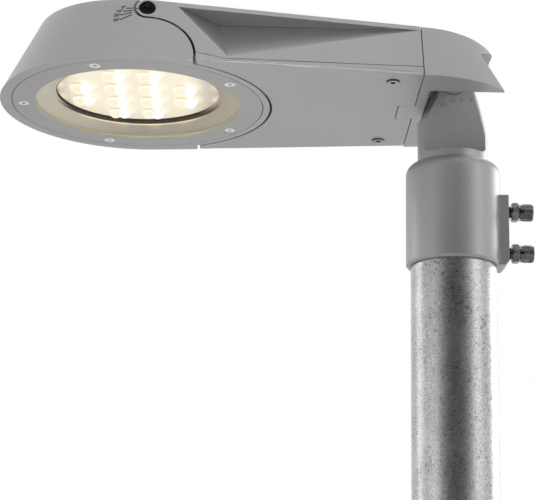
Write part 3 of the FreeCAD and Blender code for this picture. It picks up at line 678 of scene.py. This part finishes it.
class POSTLIGHT_OT_tilt_scale(bpy.types.Operator):
    """Prints the tilt scale on the head and the index on the fork's ear"""
    bl_idname = "post_light.tilt_scale"
    bl_label = "Print Tilt Scale"

    # Numeral, both ends of its line and its own middle, each as X and Z.
    marks = (("0°", (-0.23083, 0.49264), (-0.22636, 0.49276), (-0.23252, 0.49341)),
             ("10°", (-0.23255, 0.48968), (-0.22647, 0.49076), (-0.23513, 0.48996)),
             ("20°", (-0.23406, 0.48632), (-0.22678, 0.48892), (-0.23646, 0.48613)),
             ("30°", (-0.23420, 0.48213), (-0.22640, 0.48684), (-0.23668, 0.48188)))
    index = ((-0.22395, 0.49249), (-0.22235, 0.49255))
    weight = 0.00018

    def execute(self, context):
        sizes = scale_settings()
        ink = printed_ink()
        pieces = []
        for label, start, end, centre in self.marks:
            pieces.append(strip(sizes.line_width, start, end, PRINT_START))
            pieces.append(upright_text(label, sizes.text_height, *centre, PRINT_START, self.weight))
        scale = laid_on(joined(pieces), "head_shell", sizes.print_lift)
        finish_piece(scale, "tilt_scale", "head", ink)
        tick = laid_on(strip(sizes.line_width, *self.index, PRINT_START), "arm_housing", sizes.print_lift)
        finish_piece(tick, "tilt_index", "arm", ink)
        return {"FINISHED"}


class POSTLIGHT_OT_neck_numerals(bpy.types.Operator):
    """Raises the small cast numerals on both flats of the neck"""
    bl_idname = "post_light.neck_numerals"
    bl_label = "Raise Neck Numerals"

    # Numeral, X, Z and turn in radians.
    marks = (("15", -0.0082, 0.4522, 0.5), ("10", -0.0011, 0.4553, 0.3), ("5", 0.0055, 0.4566, 0.12),
             ("0", 0.0122, 0.4568, 0.0))
    weight = 0.00004
    # Painted shade: the raised numerals take a darker copy of the powder coat.
    painted_shade_lift = 0.6

    def execute(self, context):
        sizes = scale_settings()
        coat = powder_coat("powder_coat_numerals_painted_shade", self.painted_shade_lift)
        for name, near in (("neck_numerals_near", True), ("neck_numerals_far", False)):
            y = PRINT_START if near else -PRINT_START
            pieces = [upright_text(label, sizes.neck_height, x, z, y, self.weight, near, -turn)
                      for label, x, z, turn in self.marks]
            numerals = laid_on(joined(pieces), "neck_sleeve", sizes.neck_lift, near)
            alone(numerals)
            wall = numerals.modifiers.new("wall", "SOLIDIFY")
            wall.thickness = sizes.neck_lift
            wall.offset = -1.0
            bpy.ops.object.modifier_apply(modifier=wall.name)
            finish_piece(numerals, name, "mast", coat)
        return {"FINISHED"}


class POSTLIGHT_OT_clamp_threads(bpy.types.Operator):
    """Turns the screw threads that show between the clamp pad and the nuts"""
    bl_idname = "post_light.clamp_threads"
    bl_label = "Turn Clamp Threads"

    pitch = 0.00125
    depth = 0.0003
    shank = 0.004
    proud = 0.00003
    pad_gap = 0.00005
    sides = 40
    smooth_angle = math.radians(30)

    def execute(self, context):
        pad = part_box("neck_sleeve")[1].x
        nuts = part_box("lock_nuts")[0].x
        turns = int((nuts - pad) / self.pitch)
        crest = 1 + self.depth / self.shank
        heights, _, _ = clamp_heads()
        pieces = []
        for z in heights:
            thread = disc(self.sides, self.shank + self.proud, pad + self.pad_gap, z)
            bpy.ops.object.mode_set(mode="EDIT")
            bpy.ops.mesh.select_all(action="SELECT")
            for _ in range(turns):
                for factor in (crest, 1 / crest):
                    pull(self.pitch / 2)
                    widen(factor, z)
            close_mesh()
            pieces.append(thread)
        threads = joined(pieces)
        alone(threads)
        bpy.ops.object.shade_smooth_by_angle(angle=self.smooth_angle)
        finish_piece(threads, "clamp_threads", "mast", black_steel())
        return {"FINISHED"}


class POSTLIGHT_OT_clamp_knurls(bpy.types.Operator):
    """Rolls the fine ribs round the heads of the clamp screws"""
    bl_idname = "post_light.clamp_knurls"
    bl_label = "Roll Clamp Knurls"

    ribs = 30
    rib_points = 4
    height = 0.00022
    length = 0.0062
    sunk = 0.00005
    end_gap = 0.0014

    def execute(self, context):
        heights, radius, head_end = clamp_heads()
        start = head_end - self.end_gap - self.length
        pieces = []
        for z in heights:
            ring = disc(self.ribs * self.rib_points, radius - self.sunk, start, z)
            context.tool_settings.mesh_select_mode = (True, False, False)
            bpy.ops.object.mode_set(mode="EDIT")
            bpy.ops.mesh.select_all(action="DESELECT")
            bpy.ops.object.mode_set(mode="OBJECT")
            for index, vertex in enumerate(ring.data.vertices):
                vertex.select = index % self.rib_points < self.rib_points // 2
            bpy.ops.object.mode_set(mode="EDIT")
            widen(1 + self.height / radius, z)
            bpy.ops.mesh.select_all(action="SELECT")
            pull(self.length)
            close_mesh()
            pieces.append(ring)
        finish_piece(joined(pieces), "clamp_knurls", "mast", dark_steel())
        return {"FINISHED"}


class POSTLIGHT_OT_stage(bpy.types.Operator):
    """Sets up the floor, camera, lamps and white surroundings"""
    bl_idname = "post_light.stage"
    bl_label = "Set Stage"

    # Name, place, target, width, height, watts and spread in degrees.
    lamps = (("key_right", (1.25, 0.85, 0.55), (0.0, 0.0, 0.42), 0.7, 0.9, 10.0, 180.0),
             ("strip_right", (1.16, -0.78, 0.70), (0.0, 0.0, 0.42), 0.22, 1.2, 2.2, 180.0),
             ("strip_left", (-1.38, 0.55, 0.68), (-0.1, 0.0, 0.42), 0.25, 1.2, 2.6, 180.0),
             ("low_left", (-1.10, -0.55, 0.12), (0.0, 0.0, 0.42), 0.5, 0.2, 1.0, 180.0),
             ("arm_fill", (-0.18, -1.0, 0.10), (-0.13, -0.07, 0.48), 0.25, 0.10, 0.08, 14.0),
             ("top_soft", (-0.1, 1.4, 2.30), (-0.2, 0.0, 0.0), 2.0, 1.4, 30.0, 180.0))
    floor_size = 8.0
    floor_glow = (0.10, 0.10, 0.10)
    card_place = (-0.25, -1.65, 0.65)
    card_size = (3.0, 1.3, 1.0)
    card_middle = -0.1
    card_pale = (0.7, 0.7, 0.7)

    def execute(self, context):
        stage = context.scene.post_light_stage
        self.floor(stage)
        self.dark_card()
        self.camera(context, stage)
        for lamp in self.lamps:
            self.lamp(*lamp)
        self.surroundings(context, stage)
        context.scene.view_settings.view_transform = "Standard"
        return {"FINISHED"}

    def floor(self, stage):
        floor = plane(self.floor_size, (0, 0, 0))
        floor.name = "studio_floor"
        paper = Finish("floor_paper", roughness=0.9, emission_strength=1.0)
        shade = [tone * 0.98 for tone in stage.floor_tone]
        paper.feed({"Base Color": paper.mix(paper.noise(6.0, 3.0), shade, stage.floor_tone),
                    "Emission Color": paper.mix(seen_share(paper.tree), BLACK, self.floor_glow)})
        floor.data.materials.append(paper.material)

    def dark_card(self):
        """Dark backdrop behind the camera, which gives the round metal its dark middle."""
        card = plane(1.0, self.card_place, (QUARTER, 0, 0))
        card.name = "dark_card"
        card.scale = self.card_size
        settle(card)
        felt = Finish("dark_felt", roughness=0.9)
        off_middle = abs(felt.parts()[0] - self.card_middle)
        fade = felt.step(off_middle, 0.35, 1.6) + felt.noise(40.0, 3.0) * 0.02
        felt.feed({"Base Color": felt.mix(fade, NEAR_BLACK, self.card_pale)})
        card.data.materials.append(felt.material)
        card.visible_camera = False
        card.visible_diffuse = False
        card.visible_shadow = False

    def camera(self, context, stage):
        pitch, yaw, roll = stage.camera_pitch, stage.camera_yaw, stage.camera_roll
        ahead = Vector((-math.sin(yaw) * math.cos(pitch), math.cos(yaw) * math.cos(pitch), math.sin(pitch)))
        right = Vector((math.cos(yaw), math.sin(yaw), 0.0))
        down = ahead.cross(right)
        side = right * math.cos(roll) + down * math.sin(roll)
        up = right * math.sin(roll) - down * math.cos(roll)
        bpy.ops.object.camera_add(location=stage.camera_place)
        camera = bpy.context.object
        camera.rotation_euler = Matrix((side, up, -ahead)).transposed().to_euler()
        camera.data.sensor_fit = "HORIZONTAL"
        camera.data.sensor_width = 36.0
        camera.data.lens = stage.lens
        context.scene.camera = camera

    def lamp(self, name, place, target, width, height, power, spread):
        bpy.ops.object.light_add(type="AREA", location=place)
        lamp = bpy.context.object
        lamp.name = name
        lamp.rotation_euler = (Vector(target) - Vector(place)).to_track_quat("-Z", "Y").to_euler()
        lamp.data.shape = "RECTANGLE"
        lamp.data.size = width
        lamp.data.size_y = height
        lamp.data.energy = power
        lamp.data.spread = math.radians(spread)
        lamp.visible_camera = False

    def surroundings(self, context, stage):
        """White to the camera and in reflections, and dimmer as light on the object."""
        world = bpy.data.worlds.new("studio")
        context.scene.world = world
        world.use_nodes = True
        tree = world.node_tree
        background = tree.nodes["Background"]
        background.inputs["Color"].default_value = (1, 1, 1, 1)
        plug(tree, background.inputs["Strength"], stage.ambient + seen_share(tree) * (1.0 - stage.ambient))


class POSTLIGHT_PT_panel(bpy.types.Panel):
    """Lists the steps that dress the light"""
    bl_idname = "POSTLIGHT_PT_panel"
    bl_label = "Post Light"
    bl_space_type = "VIEW_3D"
    bl_region_type = "UI"
    bl_category = "Post Light"

    def draw(self, context):
        for step in STEPS:
            self.layout.operator(step.bl_idname)


STEPS = (POSTLIGHT_OT_castings, POSTLIGHT_OT_metalwork, POSTLIGHT_OT_light_unit, POSTLIGHT_OT_gear,
         POSTLIGHT_OT_tilt_scale, POSTLIGHT_OT_neck_numerals, POSTLIGHT_OT_clamp_threads,
         POSTLIGHT_OT_clamp_knurls, POSTLIGHT_OT_stage)
CLASSES = (FinishSettings, ScaleSettings, StageSettings) + STEPS + (POSTLIGHT_PT_panel,)


def register():
    for cls in CLASSES:
        bpy.utils.register_class(cls)
    bpy.types.Scene.post_light_finish = PointerProperty(type=FinishSettings)
    bpy.types.Scene.post_light_scale = PointerProperty(type=ScaleSettings)
    bpy.types.Scene.post_light_stage = PointerProperty(type=StageSettings)


def unregister():
    for name in ("post_light_finish", "post_light_scale", "post_light_stage"):
        delattr(bpy.types.Scene, name)
    for cls in reversed(CLASSES):
        bpy.utils.unregister_class(cls)


def main():
    register()
    bpy.ops.post_light.castings()
    bpy.ops.post_light.metalwork()
    bpy.ops.post_light.light_unit()
    bpy.ops.post_light.gear()
    bpy.ops.post_light.tilt_scale()
    bpy.ops.post_light.neck_numerals()
    bpy.ops.post_light.clamp_threads()
    bpy.ops.post_light.clamp_knurls()
    bpy.ops.post_light.stage()


if __name__ == "__main__":
    main()
